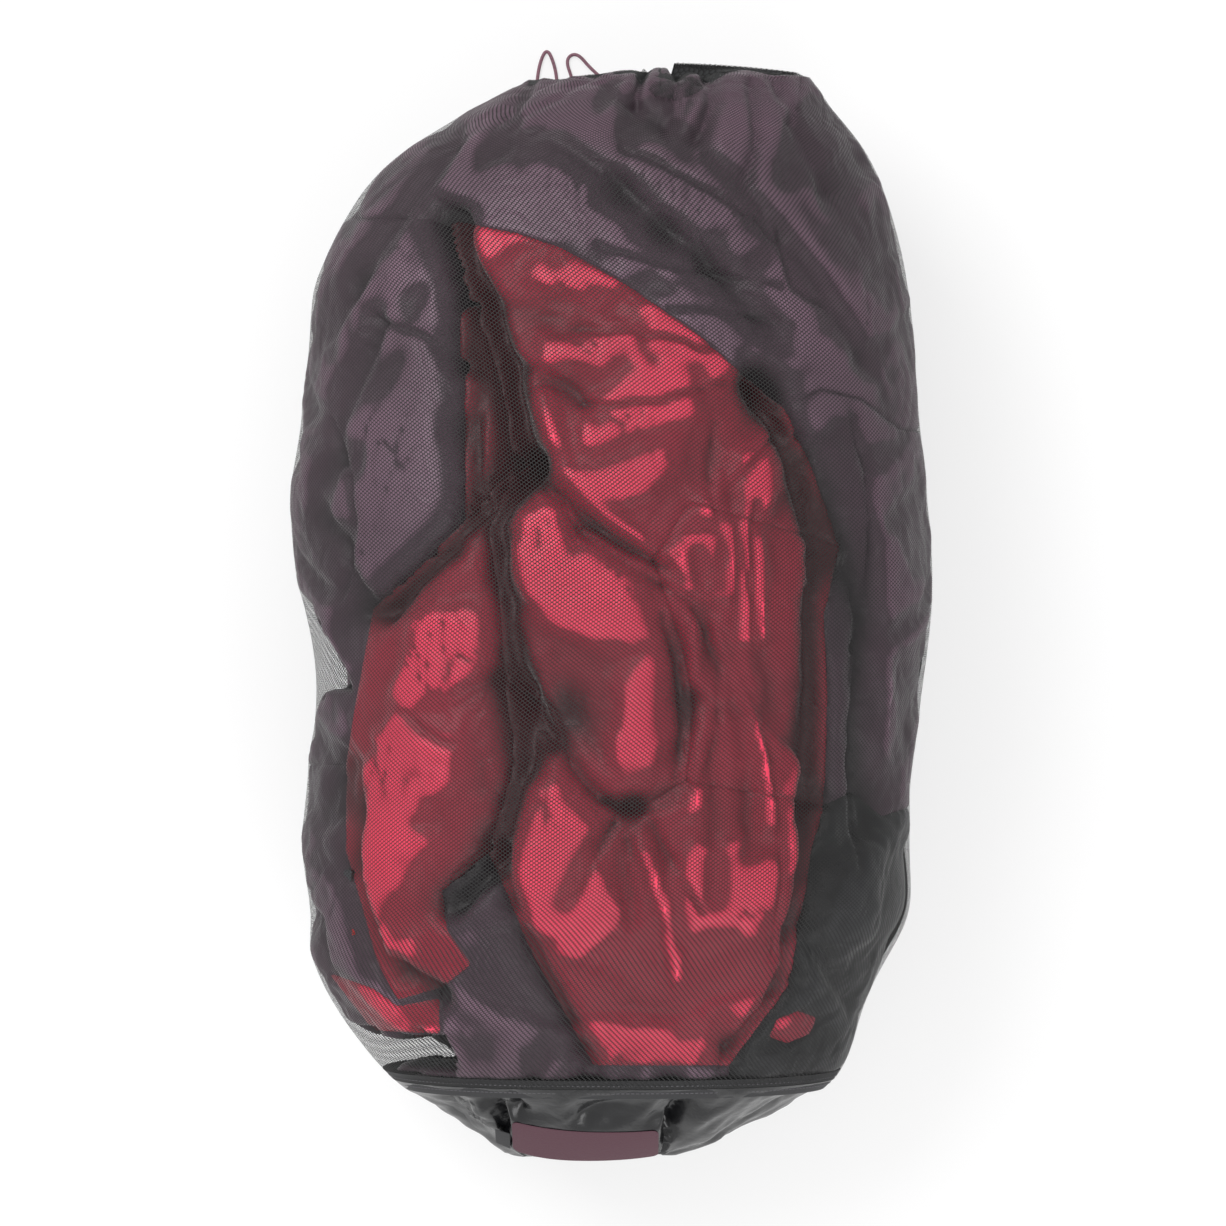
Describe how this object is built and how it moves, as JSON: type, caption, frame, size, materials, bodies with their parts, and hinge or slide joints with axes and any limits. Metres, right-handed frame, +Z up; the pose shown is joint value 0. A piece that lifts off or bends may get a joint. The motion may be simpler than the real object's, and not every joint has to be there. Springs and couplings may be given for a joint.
{
  "type": "stuff sack",
  "caption": "Stuffed mesh storage sack with a coated base, a gathered drawcord mouth and a cord lock, lying on its back.",
  "frame": {"origin": "on the surface the sack lies on, under the middle of its box, measured without the drawcord's free tails and lock", "axes": "+Z up, +Y along the sack towards its gathered mouth, +X to the right seen from above"},
  "size_m": [0.4031, 0.686, 0.2852],
  "materials": {
    "black_mesh": "matte",
    "coated_nylon": "gloss",
    "black_tape": "matte",
    "woven_label": "matte",
    "mauve_cord": "matte",
    "red_cord": "matte",
    "lock_plastic": "satin",
    "plunger_plastic": "satin",
    "spring_steel": "satin",
    "dark_metal": "satin",
    "black_nylon": "satin",
    "crimson_nylon": "satin",
    "aubergine_nylon": "satin"
  },
  "bodies": {
    "sack": {"mesh_body": "black_mesh", "base_panel": "coated_nylon", "base_seam_tape": "black_tape", "side_seam_tape": "black_tape", "base_label": "woven_label", "care_label": "black_tape", "drawcord_casing": "black_mesh", "drawcord_ring": "mauve_cord", "drawcord_left_tail": "mauve_cord", "drawcord_right_tail": "mauve_cord", "drawcord_knot": "mauve_cord", "zip_slider": "dark_metal", "zip_pull": "red_cord", "folded_pouch": "black_nylon", "fold_crimson_upper": "crimson_nylon", "fold_crimson_hanging": "crimson_nylon", "fold_crimson_right": "crimson_nylon", "fold_crimson_lower": "crimson_nylon", "fold_crimson_left": "crimson_nylon", "fold_dark_left": "aubergine_nylon", "fold_dark_top": "aubergine_nylon", "fold_dark_right": "aubergine_nylon", "fold_dark_lower": "aubergine_nylon", "fold_dark_corner": "aubergine_nylon", "back_fold_head": "aubergine_nylon", "back_fold_middle": "aubergine_nylon", "back_fold_foot": "aubergine_nylon"},
    "cord_lock": {"lock_body": "lock_plastic", "lock_spring": "spring_steel"},
    "lock_button": {"lock_plunger": "plunger_plastic"}
  },
  "joints": [
    {"name": "lock_slide", "type": "slide", "parent": "sack", "child": "cord_lock", "axis": [0, 0, -1], "range_m": [0, 0.02]},
    {"name": "lock_press", "type": "slide", "parent": "cord_lock", "child": "lock_button", "axis": [0, -1, 0], "range_m": [0, 0.004], "stiffness_N_per_m": 500, "springref_m": -0.002, "deforming": ["lock_spring"]}
  ]
}
